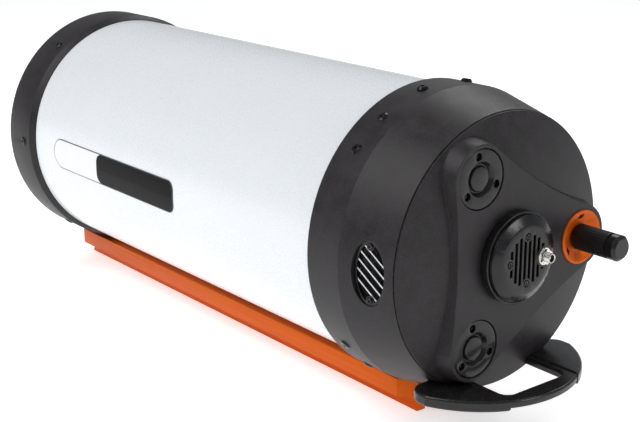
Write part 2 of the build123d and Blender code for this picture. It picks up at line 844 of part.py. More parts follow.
def rail_screw_places():
    front = front_face - 18
    return [(side * rail_screw_x, y) for y in (-12, front) for side in (-1, 1)]


def dovetail_rail():
    """A wide plate over a hollow dovetail foot."""
    lean = rail_foot * math.tan(math.radians(dovetail_lean))
    side_bottom = rail_top - rail_side
    section = [
        (-rail_half_width, rail_top), (rail_half_width, rail_top), (rail_half_width, side_bottom),
        (rail_foot_half_width - lean, side_bottom), (rail_foot_half_width, rail_bottom),
        (rail_channel_half_width, rail_bottom), (rail_channel_half_width, rail_bottom + rail_channel_depth),
        (-rail_channel_half_width, rail_bottom + rail_channel_depth), (-rail_channel_half_width, rail_bottom),
        (-rail_foot_half_width, rail_bottom), (-rail_foot_half_width + lean, side_bottom),
        (-rail_half_width, side_bottom)]
    plane = Plane(origin=(0, rail_rear_y, 0), x_dir=(1, 0, 0), z_dir=(0, -1, 0))
    length = rail_front_y - rail_rear_y
    bar = extrude(plane * make_face(Polyline(*section, close=True)), amount=-length)
    plan = chamfer(Rectangle(2 * rail_half_width, length).vertices(), rail_corner)
    bar &= Pos(0, rail_rear_y + length / 2, rail_bottom) * extrude(plan, rail_top - rail_bottom)
    for x, y in rail_screw_places():
        bar -= Pos(x, y, 0) * Cylinder(2.5, 4 * cell_radius)
        bar -= Pos(x, y, rail_bottom) * Cylinder(
            4.6, rail_channel_depth + 6, align=upright)
    return bar


def rail_screws():
    seat = rail_bottom + rail_channel_depth + 6
    screw = button_screw(4.4, 3.0, 2.5, rail_top - seat + rail_screw_bite)
    return [Plane(origin=(x, y, seat), z_dir=(0, 0, -1)) * screw for x, y in rail_screw_places()]


# ---- handle ----------------------------------------------------------------------------------
def handle_outline(margin=0.0):
    """The handle from above: one bowed edge behind, and round corners beside the cell."""
    half = handle_half_width + margin
    bow_radius = handle_bow_radius + margin
    bow_middle = handle_rear_y + handle_bow_radius
    shoulder = bow_middle - math.sqrt(bow_radius ** 2 - half ** 2)
    front = handle_front_y + margin
    bow = ThreePointArc((-half, shoulder), (0, bow_middle - bow_radius), (half, shoulder))
    sides = Polyline((half, shoulder), (half, front), (-half, front), (-half, shoulder))
    outline = make_face([bow, *sides.edges()])
    return fillet(outline.vertices().sort_by(Axis.Y)[-2:], handle_corner)


def finger_gap():
    """The room for fingers between the rear cell and the bar."""
    start = handle_rear_y + handle_bar
    length = 2 * (handle_front_y - start)
    return Pos(0, start + length / 2) * RectangleRounded(2 * finger_gap_half_width, length, 8)


def soft_slab(outline, bottom, top, radius):
    """A slab with round edges above and below."""
    slab = Pos(0, 0, bottom) * extrude(outline, top - bottom)
    by_height = slab.edges().group_by(Axis.Z)
    return fillet(by_height[0] + by_height[-1], radius)


def carry_handle():
    """A flat bowed bar between two thicker pads that follow the cell."""
    body = soft_slab(handle_outline() - finger_gap(), handle_top - handle_thickness, handle_top, 2.0)
    pads = handle_outline(handle_pad_margin) - Rectangle(2 * handle_pad_inside, 4 * handle_bow_radius)
    for pad in pads.faces():
        body += soft_slab(pad, handle_pad_bottom, handle_pad_top, 2.5)
    body = body - rear_cell_envelope() - plateau()
    for side in (-1, 1):
        place = Pos(side * handle_screw_x, handle_screw_y, handle_pad_bottom)
        body -= place * Cylinder(4.8, 3.5, align=upright)
        body -= place * Cylinder(2.5, 40, align=upright)
    return body


def handle_screws():
    seat = handle_pad_bottom + 3.5
    screw = button_screw(4.4, 3.0, 2.5, handle_screw_tip - seat)
    return [Plane(origin=(side * handle_screw_x, handle_screw_y, seat), z_dir=(0, 0, -1)) * screw
            for side in (-1, 1)]


# ---- side badge ------------------------------------------------------------------------------
badge_thickness = 0.5
badge_height = 28.5
badge_corner = 8.0
badge_border = 0.8
badge_front_y = 421.0
badge_joint_y = 335.0
badge_rear_y = 199.0


def light_plate_outline(margin=0.0):
    """A long round-ended plate whose rear end lies under the dark one."""
    length = badge_front_y - badge_joint_y + badge_height
    outline = SlotOverall(length + 2 * margin, badge_height + 2 * margin)
    return Pos(badge_front_y - length / 2, 0) * outline


def dark_plate_outline(margin=0.0):
    length = badge_joint_y - badge_rear_y
    outline = RectangleRounded(length + 2 * margin, badge_height + 2 * margin, badge_corner + margin)
    return Pos(badge_joint_y - length / 2, 0) * outline


def on_tube_side(outline):
    """A thin plate of this outline that follows the tube's left side."""
    skin = pipe(tube_radius + badge_thickness, tube_radius, 0, tube_span)
    side = Plane(origin=(0, 0, 0), x_dir=(0, 1, 0), z_dir=(-1, 0, 0))
    return skin & extrude(side * outline, 2 * tube_radius)


def plate_border():
    inside = light_plate_outline() + dark_plate_outline()
    return light_plate_outline(badge_border) + dark_plate_outline(badge_border) - inside


def main():
    os.makedirs("parts", exist_ok=True)
    lenses, spacers = lens_stack()
    keep("optical_tube", optical_tube())
    keep("front_cell", front_cell())
    keep("front_cell_screws", front_cell_screws())
    keep("corrector_plate", corrector_plate())
    keep("corrector_shims", corrector_shims())
    keep("corrector_retaining_ring", corrector_retaining_ring())
    keep("retaining_ring_screws", retaining_ring_screws())
    keep("lens_cell", lens_cell())
    keep("lens_cell_retainer", lens_cell_retainer())
    keep("collimation_screws", collimation_screws())
    for number, element in enumerate(lenses, start=1):
        keep(f"lens_element_{number}", element)
    keep("lens_spacers", spacers)
    keep("lens_lock_ring", lens_lock_ring())
    keep("optical_window", optical_window())
    keep("camera_adapter", camera_adapter())
    keep("adapter_collar", adapter_collar())
    keep("rear_cell", rear_cell())
    keep("rear_cell_screws", rear_cell_screws())
    keep("finder_screws", finder_screws())
    for name, cap in (("upper", 0), ("lower", 1)):
        keep(f"mirror_support_cap_{name}", mirror_support_cap(cap))
        keep(f"guide_post_{name}", guide_post(cap))
    keep("cap_screws", cap_screws())
    keep("focuser_flange", focuser_flange())
    keep("bearing_housing", bearing_housing())
    keep("focus_bearing", focus_bearing())
    keep("focus_shaft", focus_shaft())
    keep("knob_core", knob_core())
    keep("knob_grip", knob_grip())
    keep("knob_end_cap", knob_end_cap())
    keep("primary_mirror", primary_mirror())
    keep("mirror_carrier", mirror_carrier())
    keep("mirror_pads", mirror_pads())
    keep("mirror_lock_ring", mirror_lock_ring())
    keep("linear_bearings", linear_bearings())
    keep("focus_nut", focus_nut())
    keep("fan_frame", fan_frame())
    keep("fan_rotor", fan_rotor())
    keep("fan_filter_mesh", fan_filter_mesh())
    keep("fan_cover", fan_cover())
    keep("fan_cover_screws", fan_cover_screws())
    keep("dc_jack", dc_jack())
    keep("dc_jack_nut", dc_jack_nut())
    for name, side in (("left", -1), ("right", 1)):
        keep(f"side_vent_{name}", vent_bezel(side))
        keep(f"vent_mesh_{name}", vent_mesh(side))
    keep("vent_slats", vent_slats(-1) + vent_slats(1))
    keep("vent_screws", vent_screws())
    keep("dovetail_rail", dovetail_rail())
    keep("rail_screws", rail_screws())
    keep("carry_handle", carry_handle())
    keep("handle_screws", handle_screws())
    keep("name_plate_light", on_tube_side(light_plate_outline() - dark_plate_outline()))
    keep("name_plate_dark", on_tube_side(dark_plate_outline()))
    keep("name_plate_border", on_tube_side(plate_border()))


main()
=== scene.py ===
import json
import math

import bmesh
import bpy
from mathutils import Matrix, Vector


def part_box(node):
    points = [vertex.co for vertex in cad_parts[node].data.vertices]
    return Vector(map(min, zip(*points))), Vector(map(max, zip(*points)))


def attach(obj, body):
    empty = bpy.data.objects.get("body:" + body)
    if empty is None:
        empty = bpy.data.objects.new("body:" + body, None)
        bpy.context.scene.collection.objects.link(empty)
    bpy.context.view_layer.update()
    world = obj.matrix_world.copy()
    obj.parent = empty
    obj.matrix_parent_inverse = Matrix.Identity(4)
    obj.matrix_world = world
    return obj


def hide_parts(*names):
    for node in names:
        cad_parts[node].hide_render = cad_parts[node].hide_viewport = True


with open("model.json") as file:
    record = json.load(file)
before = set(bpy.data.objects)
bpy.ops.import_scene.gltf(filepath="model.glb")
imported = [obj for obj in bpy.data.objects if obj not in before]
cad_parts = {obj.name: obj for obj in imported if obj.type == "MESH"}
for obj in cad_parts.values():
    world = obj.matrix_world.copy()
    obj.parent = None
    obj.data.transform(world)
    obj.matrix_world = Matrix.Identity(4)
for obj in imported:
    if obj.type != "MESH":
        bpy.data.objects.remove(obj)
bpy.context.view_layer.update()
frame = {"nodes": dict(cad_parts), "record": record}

# A short prime-focus telescope: white tube, dark textured cells, orange rail and focuser flange.
# Lengths are metres in the telescope's own frame: +Y runs along the optical axis towards the sky,
# +X is to the right seen from behind and +Z is up.

nodes = frame["nodes"]
mm = 0.001


def span(node):
    """A node's lowest corner, highest corner and middle."""
    low, high = (Vector(corner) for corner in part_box(node))
    return low, high, (low + high) / 2


tube_low, tube_high, tube_middle = span("optical_tube")
axis_z = tube_middle.z
tube_radius = (tube_high.x - tube_low.x) / 2
rim_y = span("rear_cell")[1].y          # where the rear cell meets the tube
axis_point = Vector((0, rim_y, axis_z))


# ---- shader helpers --------------------------------------------------------------------------
bevel_samples = 6


def put(tree, kind, inputs=(), **settings):
    """A node with its settings made, and its sockets given values or links."""
    node = tree.nodes.new(kind)
    for name, value in settings.items():
        setattr(node, name, value)
    for name, value in dict(inputs).items():
        if isinstance(value, bpy.types.NodeSocket):
            tree.links.new(value, node.inputs[name])
        else:
            node.inputs[name].default_value = value
    return node


def math_node(tree, operation, first, second=0.0, clamp=False):
    node = put(tree, "ShaderNodeMath", {0: first, 1: second}, operation=operation, use_clamp=clamp)
    return node.outputs[0]


def mix_colour(tree, mask, first, second):
    """The first colour where the mask is 0 and the second where it is 1."""
    node = put(tree, "ShaderNodeMix", data_type="RGBA")
    for name, value in (("Factor", mask), ("A", first), ("B", second)):
        socket = [given for given in node.inputs if given.name == name and given.enabled][-1]
        if isinstance(value, bpy.types.NodeSocket):
            tree.links.new(value, socket)
        else:
            socket.default_value = value
    return next(out for out in node.outputs if out.enabled)


def ramp(tree, value, low, high):
    """0 below low, 1 above high, and a smooth step between."""
    return put(tree, "ShaderNodeMapRange", {"Value": value, "From Min": low, "From Max": high},
               interpolation_type="SMOOTHSTEP").outputs["Result"]


def noise(tree, place, scale, detail=3.0, roughness=0.55):
    return put(tree, "ShaderNodeTexNoise", {"Vector": place, "Scale": scale, "Detail": detail,
                                            "Roughness": roughness}).outputs["Fac"]


def new_group(name, inputs, outputs):
    tree = bpy.data.node_groups.new(name, "ShaderNodeTree")
    for socket, value in inputs.items():
        made = tree.interface.new_socket(socket, in_out="INPUT", socket_type="NodeSocketFloat")
        made.default_value = value
    for socket, kind in outputs.items():
        tree.interface.new_socket(socket, in_out="OUTPUT", socket_type=kind)
    return tree, tree.nodes.new("NodeGroupInput"), tree.nodes.new("NodeGroupOutput")


def place_of(tree):
    return put(tree, "ShaderNodeTexCoord").outputs["Object"]


def eased_normal(tree, radius):
    """The surface's normal with hard corners rounded over."""
    return put(tree, "ShaderNodeBevel", {"Radius": radius}, samples=bevel_samples).outputs["Normal"]


def grain_group():
    """Fine pebbled texture: a height and a light-and-dark mask."""
    tree, given, result = new_group(
        "fine_grain", {"Scale": 1500.0, "Patch Scale": 60.0},
        {"Height": "NodeSocketFloat", "Shade": "NodeSocketFloat"})
    place = place_of(tree)
    pebbles = put(tree, "ShaderNodeTexVoronoi", {"Vector": place, "Scale": given.outputs["Scale"]},
                  feature="SMOOTH_F1").outputs["Distance"]
    half_scale = math_node(tree, "MULTIPLY", given.outputs["Scale"], 0.45)
    broad = noise(tree, place, half_scale, 4.0)
    height = math_node(tree, "ADD", pebbles, broad)
    patches = noise(tree, place, given.outputs["Patch Scale"], 5.0, 0.6)
    speckle = ramp(tree, noise(tree, place, given.outputs["Scale"], 2.0), 0.35, 0.7)
    shade = math_node(tree, "ADD", math_node(tree, "MULTIPLY", patches, 0.65),
                      math_node(tree, "MULTIPLY", speckle, 0.35))
    tree.links.new(height, result.inputs["Height"])
    tree.links.new(shade, result.inputs["Shade"])
    return tree


def wear_and_highlight_group():
    """Where edges have rubbed, and where edges get a painted highlight: a broken line along each outside
    corner.
    """
    tree, given, result = new_group(
        "edge_wear_and_highlight", {"Radius": 0.0006, "Amount": 0.5, "Scale": 220.0}, {"Mask": "NodeSocketFloat"})
    rounded = eased_normal(tree, given.outputs["Radius"])
    true_normal = put(tree, "ShaderNodeNewGeometry").outputs["Normal"]
    match = put(tree, "ShaderNodeVectorMath", {0: rounded, 1: true_normal},
                operation="DOT_PRODUCT").outputs["Value"]
    corner = ramp(tree, math_node(tree, "SUBTRACT", 1.0, match), 0.01, 0.12)
    broken = ramp(tree, noise(tree, place_of(tree), given.outputs["Scale"], 4.0, 0.65), 0.42, 0.62)
    marked = math_node(tree, "MULTIPLY", corner, broken)
    mask = math_node(tree, "MULTIPLY", marked, given.outputs["Amount"], True)
    tree.links.new(mask, result.inputs["Mask"])
    return tree


def dust_group():
    """Dust that settles on what faces up."""
    tree, given, result = new_group(
        "settled_dust", {"Amount": 0.3, "Scale": 90.0}, {"Mask": "NodeSocketFloat"})
    facing = put(tree, "ShaderNodeSeparateXYZ",
                 {"Vector": put(tree, "ShaderNodeNewGeometry").outputs["Normal"]}).outputs["Z"]
    up = ramp(tree, facing, 0.25, 1.0)
    fluff = ramp(tree, noise(tree, place_of(tree), given.outputs["Scale"], 6.0, 0.7), 0.4, 0.75)
    mask = math_node(tree, "MULTIPLY", math_node(tree, "MULTIPLY", up, fluff), given.outputs["Amount"],
                     True)
    tree.links.new(mask, result.inputs["Mask"])
    return tree


def streak_group():
    """Long fine lines along the optical axis, as drawn metal has."""
    tree, given, result = new_group(
        "drawn_lines", {"Scale": 900.0, "Length": 0.02},
        {"Height": "NodeSocketFloat", "Shade": "NodeSocketFloat"})
    lengthwise = put(tree, "ShaderNodeCombineXYZ",
                     {"X": 1.0, "Y": given.outputs["Length"], "Z": 1.0}).outputs[0]
    stretched = put(tree, "ShaderNodeVectorMath", {0: place_of(tree), 1: lengthwise},
                    operation="MULTIPLY").outputs[0]
    fine = noise(tree, stretched, given.outputs["Scale"], 3.0)
    coarse = noise(tree, stretched, math_node(tree, "MULTIPLY", given.outputs["Scale"], 0.12), 2.0)
    shade = math_node(tree, "MULTIPLY", math_node(tree, "ADD", fine, coarse), 0.5)
    tree.links.new(fine, result.inputs["Height"])
    tree.links.new(shade, result.inputs["Shade"])
    return tree


fine_grain = grain_group()
edge_wear_and_highlight = wear_and_highlight_group()
settled_dust = dust_group()
drawn_lines = streak_group()


def use(tree, group, **values):
    node = put(tree, "ShaderNodeGroup")
    node.node_tree = group
    for name, value in values.items():
        node.inputs[name.replace("_", " ")].default_value = value
    return node


def rgb(red, green, blue):
    return (red, green, blue, 1.0)


def new_material(name):
    made = bpy.data.materials.new(name)
    made.use_nodes = True
    tree = made.node_tree
    return made, tree, tree.nodes["Principled BSDF"]


dust_colour = rgb(0.55, 0.53, 0.50)
bare_metal = rgb(0.50, 0.49, 0.47)


def finish(name, dark, light, rough, metallic=0.0, coat=0.0, coat_rough=0.1, scale=1500.0, patch=60.0,
           bump=0.15, depth=0.05 * mm, wear_and_highlight=0.0, wear_and_highlight_colour=rgb(0.5, 0.5, 0.5), dust=0.0, drawn=False,
           specular=0.5, corner=0.5 * mm):
    """A paint, plastic or metal finish: mottled colour, fine relief, eased corners, rubbed edges with a
    painted edge highlight where the edge colour is a lighter shade of the finish, dust.
    """
    made, tree, shader = new_material(name)
    if drawn:
        texture = use(tree, drawn_lines, Scale=scale)
    else:
        texture = use(tree, fine_grain, Scale=scale, Patch_Scale=patch)
    colour = mix_colour(tree, ramp(tree, texture.outputs["Shade"], 0.3, 0.7), dark, light)
    roughness = put(tree, "ShaderNodeMapRange", {
        "Value": texture.outputs["Shade"], "From Min": 0.25, "From Max": 0.75,
        "To Min": rough[0], "To Max": rough[1]}).outputs["Result"]
    # Lighter colour along outside corners: rubbed edges, and where the edge colour is a lighter shade of the
    # finish's own colour, a painted edge highlight.
    if wear_and_highlight:
        rubbed_and_lit_edges = use(tree, edge_wear_and_highlight, Amount=wear_and_highlight).outputs["Mask"]
        colour = mix_colour(tree, rubbed_and_lit_edges, colour, wear_and_highlight_colour)
    if dust:
        settled = use(tree, settled_dust, Amount=dust).outputs["Mask"]
        colour = mix_colour(tree, settled, colour, dust_colour)
        roughness = math_node(tree, "ADD", roughness, math_node(tree, "MULTIPLY", settled, 0.4), True)
    relief = put(tree, "ShaderNodeBump", {
        "Height": texture.outputs["Height"], "Strength": bump, "Distance": depth,
        "Normal": eased_normal(tree, corner)}).outputs["Normal"]
    tree.links.new(colour, shader.inputs["Base Color"])
    tree.links.new(roughness, shader.inputs["Roughness"])
    tree.links.new(relief, shader.inputs["Normal"])
    shader.inputs["Metallic"].default_value = metallic
    shader.inputs["Coat Weight"].default_value = coat
    shader.inputs["Coat Roughness"].default_value = coat_rough
    shader.inputs["Specular IOR Level"].default_value = specular
    return made


def clear_glass(name, tint, film):
    """Polished glass with a faint coloured coating that shows in reflections."""
    made, tree, shader = new_material(name)
    smears = noise(tree, place_of(tree), 35.0, 5.0, 0.6)
    tree.links.new(mix_colour(tree, ramp(tree, smears, 0.35, 0.7), tint, film), shader.inputs["Base Color"])
    roughness = put(tree, "ShaderNodeMapRange", {
        "Value": smears, "From Min": 0.3, "From Max": 0.8, "To Min": 0.0, "To Max": 0.035}).outputs["Result"]
    tree.links.new(roughness, shader.inputs["Roughness"])
    shader.inputs["Transmission Weight"].default_value = 1.0
    shader.inputs["IOR"].default_value = 1.02
    shader.inputs["Coat Weight"].default_value = 0.6
    shader.inputs["Coat Roughness"].default_value = 0.02
    shader.inputs["Coat Tint"].default_value = film
    return made


def plate_material():
    """The dark plate: deep black above, with a softer grey band along its lower part that is a painted
    reflection of the bright floor.
    """
    made, tree, shader = new_material("dark_plate")
    height = put(tree, "ShaderNodeSeparateXYZ", {"Vector": place_of(tree)}).outputs["Z"]
    # Painted reflection: the plate below the tube's axis is made lighter grey, as if it mirrored the floor.
    reflection_band = ramp(tree, math_node(tree, "SUBTRACT", axis_z + 1 * mm, height), 0.0, 4 * mm)
    texture = use(tree, fine_grain, Scale=2600.0, Patch_Scale=120.0)
    deep = mix_colour(tree, texture.outputs["Shade"], rgb(0.001, 0.001, 0.0012), rgb(0.003, 0.003, 0.0033))
    floor_reflection_grey = mix_colour(tree, texture.outputs["Shade"], rgb(0.007, 0.007, 0.008), rgb(0.012, 0.012, 0.013))
    tree.links.new(mix_colour(tree, reflection_band, deep, floor_reflection_grey), shader.inputs["Base Color"])
    roughness = put(tree, "ShaderNodeMapRange", {
        "Value": texture.outputs["Shade"], "To Min": 0.22, "To Max": 0.36}).outputs["Result"]
    tree.links.new(roughness, shader.inputs["Roughness"])
    relief = put(tree, "ShaderNodeBump", {
        "Height": texture.outputs["Height"], "Strength": 0.08, "Distance": 0.03 * mm}).outputs["Normal"]
    tree.links.new(relief, shader.inputs["Normal"])
    shader.inputs["Specular IOR Level"].default_value = 0.06
    return made


black_from = 1.3 * mm         # depth under the tube's outer skin where the paint is all black
white_from = 0.5 * mm         # depth above which it is all white


def blackened_inside(made):
    """Flat black paint wherever the tube's material is nearer the axis than the tube's outer skin."""
    tree = made.node_tree
    shader = tree.nodes["Principled BSDF"]
    place = put(tree, "ShaderNodeSeparateXYZ", {"Vector": place_of(tree)})
    height = math_node(tree, "SUBTRACT", place.outputs["Z"], axis_z)
    flat = put(tree, "ShaderNodeCombineXYZ", {"X": place.outputs["X"], "Y": height, "Z": 0.0}).outputs[0]
    distance = put(tree, "ShaderNodeVectorMath", {0: flat}, operation="LENGTH").outputs["Value"]
    outer = ramp(tree, distance, tube_radius - black_from, tube_radius - white_from)
    colour = shader.inputs["Base Color"].links[0].from_socket
    rough = shader.inputs["Roughness"].links[0].from_socket
    tree.links.new(mix_colour(tree, outer, rgb(0.012, 0.012, 0.013), colour), shader.inputs["Base Color"])
    inner_rough = put(tree, "ShaderNodeMapRange", {"Value": outer, "To Min": 0.85, "To Max": rough})
    tree.links.new(inner_rough.outputs["Result"], shader.inputs["Roughness"])
    coat = math_node(tree, "MULTIPLY", outer, shader.inputs["Coat Weight"].default_value)
    tree.links.new(coat, shader.inputs["Coat Weight"])


materials = {
    "white_enamel": finish(
        "white_enamel", rgb(0.770, 0.800, 0.830), rgb(0.790, 0.820, 0.848), (0.24, 0.32), coat=0.35,
        coat_rough=0.12, scale=900.0, patch=9.0, bump=0.02, depth=0.01 * mm, dust=0.04),
    # Its lighter grey edge colour is partly rubbed paint and partly a painted edge highlight.
    "cell_texture": finish(
        "cell_texture", rgb(0.0094, 0.0078, 0.0088), rgb(0.0262, 0.0220, 0.0248), (0.38, 0.54), patch=70.0,
        bump=0.40, depth=0.14 * mm, wear_and_highlight=0.40, wear_and_highlight_colour=rgb(0.11, 0.105, 0.11), dust=0.015,
        specular=0.30, corner=0.9 * mm),
    "black_screw": finish(
        "black_screw", rgb(0.010, 0.010, 0.010), rgb(0.026, 0.026, 0.027), (0.14, 0.26), metallic=0.8,
        scale=2500.0, patch=300.0, wear_and_highlight=0.5, wear_and_highlight_colour=bare_metal, corner=0.3 * mm),
    "cork": finish(
        "cork", rgb(0.22, 0.13, 0.07), rgb(0.48, 0.33, 0.20), (0.8, 0.95), scale=900.0, patch=500.0,
        bump=0.6),
    "black_anodised": finish(
        "black_anodised", rgb(0.007, 0.007, 0.008), rgb(0.016, 0.016, 0.017), (0.24, 0.36), metallic=0.5,
        scale=2200.0, patch=90.0, wear_and_highlight=0.3, wear_and_highlight_colour=bare_metal, dust=0.03),
    "steel": finish(
        "steel", rgb(0.42, 0.42, 0.43), rgb(0.62, 0.62, 0.63), (0.2, 0.36), metallic=1.0, scale=1400.0,
        drawn=True, corner=0.2 * mm),
    # Its lighter orange edge colour is partly rubbing and partly a painted edge highlight along the rail's
    # corners.
    "orange_anodised": finish(
        "orange_anodised", rgb(0.570, 0.088, 0.004), rgb(0.680, 0.120, 0.007), (0.34, 0.46), metallic=0.35,
        scale=700.0, drawn=True, bump=0.08, wear_and_highlight=0.30, wear_and_highlight_colour=rgb(0.86, 0.40, 0.16), dust=0.01,
        specular=0.12, corner=0.6 * mm),
    "rubber": finish(
        "rubber", rgb(0.004, 0.004, 0.004), rgb(0.009, 0.0088, 0.0085), (0.44, 0.60), scale=1900.0,
        patch=140.0, bump=0.3, dust=0.02, specular=0.25),
    "silvered_glass": finish(
        "silvered_glass", rgb(0.90, 0.91, 0.92), rgb(0.96, 0.965, 0.97), (0.01, 0.04), metallic=1.0,
        scale=40.0, patch=20.0, bump=0.0),
    "brass": finish(
        "brass", rgb(0.42, 0.28, 0.09), rgb(0.62, 0.44, 0.17), (0.22, 0.36), metallic=1.0, scale=1600.0,
        drawn=True),
    # Its lighter grey edge colour is partly scuffing and partly a painted edge highlight.
    "black_plastic": finish(
        "black_plastic", rgb(0.0055, 0.0055, 0.006), rgb(0.011, 0.011, 0.012), (0.18, 0.30), scale=2000.0,
        patch=100.0, wear_and_highlight=0.20, wear_and_highlight_colour=rgb(0.07, 0.07, 0.07), dust=0.015, specular=0.35,
        corner=0.6 * mm),
    "mesh_steel": finish(
        "mesh_steel", rgb(0.020, 0.020, 0.021), rgb(0.055, 0.055, 0.057), (0.3, 0.5), metallic=0.8,
        scale=2600.0, corner=0.1 * mm),
    "bright_nickel": finish(
        "bright_nickel", rgb(0.62, 0.60, 0.57), rgb(0.80, 0.78, 0.74), (0.10, 0.22), metallic=1.0,
        scale=1800.0, patch=200.0, bump=0.05, corner=0.3 * mm),
    # Its lighter grey edge colour is partly scuffing and partly a painted edge highlight.
    "handle_plastic": finish(
        "handle_plastic", rgb(0.0075, 0.0075, 0.008), rgb(0.014, 0.014, 0.0148), (0.20, 0.32), coat=0.10,
        scale=1800.0, patch=80.0, bump=0.12, wear_and_highlight=0.15, wear_and_highlight_colour=rgb(0.08, 0.08, 0.08), dust=0.012,
        specular=0.35, corner=1.0 * mm),
    "light_plate": finish(
        "light_plate", rgb(0.80, 0.81, 0.82), rgb(0.85, 0.86, 0.865), (0.3, 0.4), scale=900.0, patch=30.0,
        bump=0.04, corner=0.2 * mm),
    "plate_border": finish(
        "plate_border", rgb(0.030, 0.030, 0.032), rgb(0.050, 0.050, 0.052), (0.3, 0.4), scale=1600.0,
        bump=0.05, corner=0.2 * mm),
    "dark_plate": plate_material(),
    "coated_glass": clear_glass("coated_glass", rgb(0.93, 0.97, 0.96), rgb(0.80, 0.93, 0.90)),
}
blackened_inside(materials["white_enamel"])
slot_of = {entry["node"]: entry["material_slot"] for entry in frame["record"]["subparts"]}


# ---- mesh helpers ----------------------------------------------------------------------------
smooth_angle = math.radians(35.0)     # faces meeting at less than this are shaded as one surface


def finished_piece(name, bm, slot, body):
    """Make the piece, give it its finish, and let it ride on its body."""
    bmesh.ops.recalc_face_normals(bm, faces=bm.faces)
    mesh = bpy.data.meshes.new(name)
    bm.to_mesh(mesh)
    bm.free()
    piece = bpy.data.objects.new(name, mesh)
    bpy.context.scene.collection.objects.link(piece)
    mesh.materials.append(materials[slot])
    mesh.shade_smooth()
    mesh.set_sharp_from_angle(angle=smooth_angle)
    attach(piece, body)
    return piece


flat_angle = math.radians(0.6)        # faces closer than this to one plane are joined
hard_angle = math.radians(32.0)       # corners sharper than this are rounded over


def softened(node, body, width, slot=None):
    """A copy of a node with its hard corners rounded over, and another finish where one is given."""
    bm = bmesh.new()
    bm.from_mesh(nodes[node].data)
    bmesh.ops.remove_doubles(bm, verts=bm.verts, dist=0.002 * mm)
    bmesh.ops.dissolve_limit(bm, angle_limit=flat_angle, verts=bm.verts, edges=bm.edges)
    hard = [edge for edge in bm.edges if edge.is_manifold and edge.calc_face_angle() > hard_angle]
    bmesh.ops.bevel(bm, geom=hard, offset=width, offset_type="OFFSET", affect="EDGES", segments=2,
                    profile=0.5, material=-1, clamp_overlap=True)
    bmesh.ops.triangulate(bm, faces=[face for face in bm.faces if len(face.verts) > 4])
    piece = finished_piece(node + "_shape", bm, slot or slot_of[node], body)
    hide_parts(node)


for name, node in nodes.items():
    node.data.materials.clear()
    node.data.materials.append(materials[slot_of[name]])


def chord(start, along, half_across, half_up, least):
    """How far along a line an upright oval about the origin begins and ends, or None on a short cut."""
    a = (along.x / half_across) ** 2 + (along.y / half_up) ** 2
    b = start.x * along.x / half_across ** 2 + start.y * along.y / half_up ** 2
    c = (start.x / half_across) ** 2 + (start.y / half_up) ** 2 - 1
    inside = b * b - a * c
    if inside <= (a * least) ** 2:
        return None
    return (-b - math.sqrt(inside)) / a, (-b + math.sqrt(inside)) / a


def sheet_plane(node, margin):
    """A thin upright sheet's middle, directions across, up and out, and half sizes less a margin."""
    mesh = nodes[node].data
    normal = max(mesh.polygons, key=lambda face: face.area).normal.copy()
    up = Vector((0, 0, 1))
    across = up.cross(normal).normalized()
    middle = span(node)[2]
    half_across = max(abs((vertex.co - middle).dot(across)) for vertex in mesh.vertices) - margin
    half_up = max(abs((vertex.co - middle).dot(up)) for vertex in mesh.vertices) - margin
    return middle, across, up, normal, half_across, half_up


def wire_curve(name, wire):
    """An empty curve that is drawn as a four-sided wire."""
    curve = bpy.data.curves.new(name, "CURVE")
    curve.dimensions = "3D"
    curve.bevel_depth = wire
    curve.bevel_resolution = 0
    curve.use_fill_caps = True
    return curve


def woven_sheet(node, body, slot, pitch, wire, sway):
    """Two families of crossing wires that fill a thin round or oval sheet, over and under by turns."""
    middle, across, up, normal, half_across, half_up = sheet_plane(node, wire)
    curve = wire_curve(node, wire)
    rows = int(2 * half_up / pitch)
    for family in (1, -1):
        along = Vector((family, 1)) / math.sqrt(2)
        aside = Vector((-family, 1)) / math.sqrt(2)
        for row in range(-rows, rows + 1):
            start = aside * row * pitch
            ends = chord(start, along, half_across, half_up, pitch)
            if ends is None:
                continue
            first, last = ends
            steps = range(-2 * rows, 2 * rows + 1)
            stops = [first, *(step * pitch for step in steps if first < step * pitch < last), last]
            spline = curve.splines.new("POLY")
            spline.points.add(len(stops) - 1)
            for point, stop in zip(spline.points, stops):
                flat = start + along * stop
                side = 0 if stop in ends else 1 - 2 * ((round(stop / pitch) + row) % 2)
                place = middle + across * flat.x + up * flat.y + normal * (family * side * sway)
                point.co = (*place, 1.0)
    source = bpy.data.objects.new(node, curve)
    bm = bmesh.new()
    bm.from_mesh(bpy.data.meshes.new_from_object(source))
    bpy.data.objects.remove(source)
    piece = finished_piece(node + "_wires", bm, slot, body)
    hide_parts(node)


def spun(name, profile, centre, slot, body, steps=48):
    """A turned piece about a line along Y, from (radius, y) points."""
    bm = bmesh.new()
    corners = [bm.verts.new((centre.x + radius, y, centre.z)) for radius, y in profile]
    for first, second in zip(corners, corners[1:]):
        bm.edges.new((first, second))
    bmesh.ops.spin(bm, geom=bm.verts[:] + bm.edges[:], cent=(centre.x, 0, centre.z), axis=(0, 1, 0),
                   angle=2 * math.pi, steps=steps, use_merge=True)
    bmesh.ops.remove_doubles(bm, verts=bm.verts, dist=0.0005 * mm)
    return finished_piece(name, bm, slot, body)


def socket_profile(low_y, floor_y, back_y, high_y, bore):
    """Half section of a threaded barrel with a flange behind, as (radius, y) points."""
    barrel, groove, flange = 4.0 * mm, 3.65 * mm, 5.4 * mm
    bevel, pitch = 0.4 * mm, 0.7 * mm
    profile = [(0, floor_y), (bore, floor_y), (bore, low_y + bevel), (bore + bevel, low_y),
               (groove - 0.1 * mm, low_y)]
    for turn in range(int((back_y - low_y) / pitch) - 1):
        y = low_y + (turn + 0.5) * pitch
        profile += [(groove, y), (barrel, y + 0.3 * mm), (barrel, y + 0.42 * mm)]
    return profile + [(barrel, back_y), (flange, back_y), (flange, high_y), (0, high_y)]


